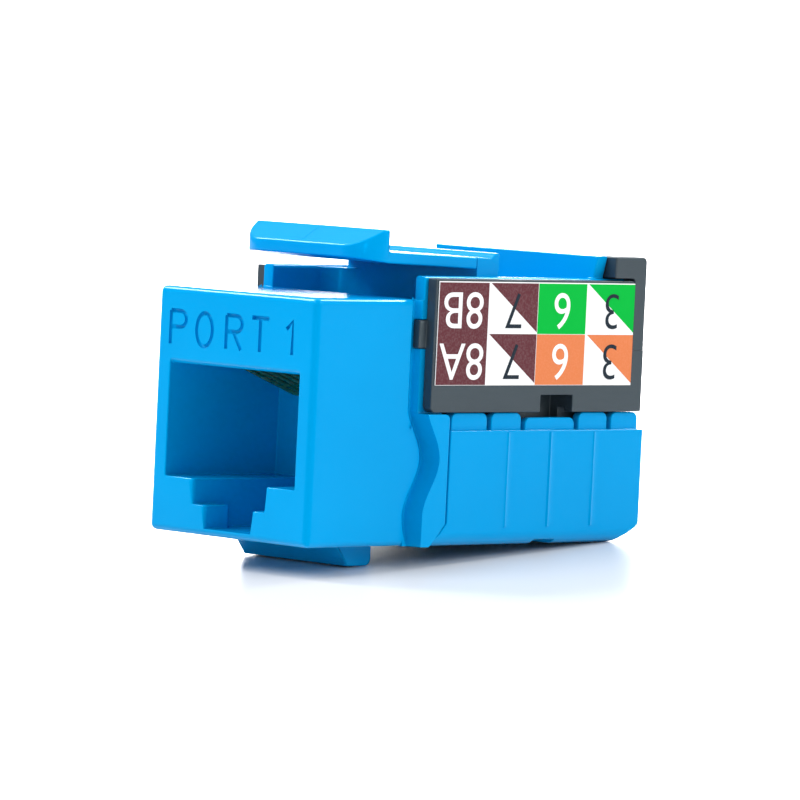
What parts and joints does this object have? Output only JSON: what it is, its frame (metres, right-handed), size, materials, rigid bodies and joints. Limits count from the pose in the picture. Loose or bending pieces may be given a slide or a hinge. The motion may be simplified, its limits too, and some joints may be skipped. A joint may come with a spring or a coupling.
{
  "type": "modular keystone network jack",
  "caption": "Panel-mount keystone network jack with a modular plug port, flexible latch, punch-down wire block, wiring labels and a pull-off dust cap.",
  "frame": {"origin": "under the middle of the jack, level with the tip of the fixed hook", "axes": "+X across the port, towards the label with wires 8, 7, 6 and 3; +Y from the port face to the rear cover; +Z from the dust cap to the flexible latch"},
  "size_m": [0.0166, 0.0286, 0.0212],
  "materials": {
    "blue_plastic": "satin moulded",
    "black_plastic": "fine matt moulded",
    "gold_contact": "gold plated",
    "tin_contact": "tin plated",
    "circuit_board": "solder mask",
    "printed_label": "printed paper label"
  },
  "bodies": {
    "jack": {"front_housing": "blue_plastic", "rear_cover": "black_plastic", "contact_carrier": "black_plastic", "idc_base": "black_plastic", "circuit_board": "circuit_board", "wiring_label_right": "printed_label", "wiring_label_left": "printed_label", "contact_tail_1": "gold_contact", "contact_tail_2": "gold_contact", "contact_tail_3": "gold_contact", "contact_tail_4": "gold_contact", "contact_tail_5": "gold_contact", "contact_tail_6": "gold_contact", "contact_tail_7": "gold_contact", "contact_tail_8": "gold_contact", "idc_contact_1": "tin_contact", "idc_contact_2": "tin_contact", "idc_contact_3": "tin_contact", "idc_contact_4": "tin_contact", "idc_contact_5": "tin_contact", "idc_contact_6": "tin_contact", "idc_contact_7": "tin_contact", "idc_contact_8": "tin_contact"},
    "latch": {"keystone_latch": "blue_plastic"},
    "cap": {"dust_cap": "blue_plastic"},
    "spring_1": {"contact_spring_1": "gold_contact"},
    "spring_2": {"contact_spring_2": "gold_contact"},
    "spring_3": {"contact_spring_3": "gold_contact"},
    "spring_4": {"contact_spring_4": "gold_contact"},
    "spring_5": {"contact_spring_5": "gold_contact"},
    "spring_6": {"contact_spring_6": "gold_contact"},
    "spring_7": {"contact_spring_7": "gold_contact"},
    "spring_8": {"contact_spring_8": "gold_contact"}
  },
  "joints": [
    {"name": "latch_flex", "type": "hinge", "parent": "jack", "child": "latch", "pos_m": [0, 0.00072, 0.01917], "axis": [1, 0, 0], "range_deg": [0, 8], "stiffness_Nm_per_rad": 0.35},
    {"name": "dust_cap_off", "type": "slide", "parent": "jack", "child": "cap", "axis": [0, 0, -1], "range_m": [0, 0.01]},
    {"name": "contact_1_flex", "type": "hinge", "parent": "jack", "child": "spring_1", "pos_m": [-0.00357, -0.01202, 0.01268], "axis": [1, 0, 0], "range_deg": [0, 11], "stiffness_Nm_per_rad": 0.01},
    {"name": "contact_2_flex", "type": "hinge", "parent": "jack", "child": "spring_2", "pos_m": [-0.00255, -0.01202, 0.01268], "axis": [1, 0, 0], "range_deg": [0, 11], "stiffness_Nm_per_rad": 0.01},
    {"name": "contact_3_flex", "type": "hinge", "parent": "jack", "child": "spring_3", "pos_m": [-0.00153, -0.01202, 0.01268], "axis": [1, 0, 0], "range_deg": [0, 11], "stiffness_Nm_per_rad": 0.01},
    {"name": "contact_4_flex", "type": "hinge", "parent": "jack", "child": "spring_4", "pos_m": [-0.00051, -0.01202, 0.01268], "axis": [1, 0, 0], "range_deg": [0, 11], "stiffness_Nm_per_rad": 0.01},
    {"name": "contact_5_flex", "type": "hinge", "parent": "jack", "child": "spring_5", "pos_m": [0.00051, -0.01202, 0.01268], "axis": [1, 0, 0], "range_deg": [0, 11], "stiffness_Nm_per_rad": 0.01},
    {"name": "contact_6_flex", "type": "hinge", "parent": "jack", "child": "spring_6", "pos_m": [0.00153, -0.01202, 0.01268], "axis": [1, 0, 0], "range_deg": [0, 11], "stiffness_Nm_per_rad": 0.01},
    {"name": "contact_7_flex", "type": "hinge", "parent": "jack", "child": "spring_7", "pos_m": [0.00255, -0.01202, 0.01268], "axis": [1, 0, 0], "range_deg": [0, 11], "stiffness_Nm_per_rad": 0.01},
    {"name": "contact_8_flex", "type": "hinge", "parent": "jack", "child": "spring_8", "pos_m": [0.00357, -0.01202, 0.01268], "axis": [1, 0, 0], "range_deg": [0, 11], "stiffness_Nm_per_rad": 0.01}
  ],
  "couplings": [
    {"joint": "contact_2_flex", "follows": "contact_1_flex", "ratio": 1},
    {"joint": "contact_3_flex", "follows": "contact_1_flex", "ratio": 1},
    {"joint": "contact_4_flex", "follows": "contact_1_flex", "ratio": 1},
    {"joint": "contact_5_flex", "follows": "contact_1_flex", "ratio": 1},
    {"joint": "contact_6_flex", "follows": "contact_1_flex", "ratio": 1},
    {"joint": "contact_7_flex", "follows": "contact_1_flex", "ratio": 1},
    {"joint": "contact_8_flex", "follows": "contact_1_flex", "ratio": 1}
  ]
}
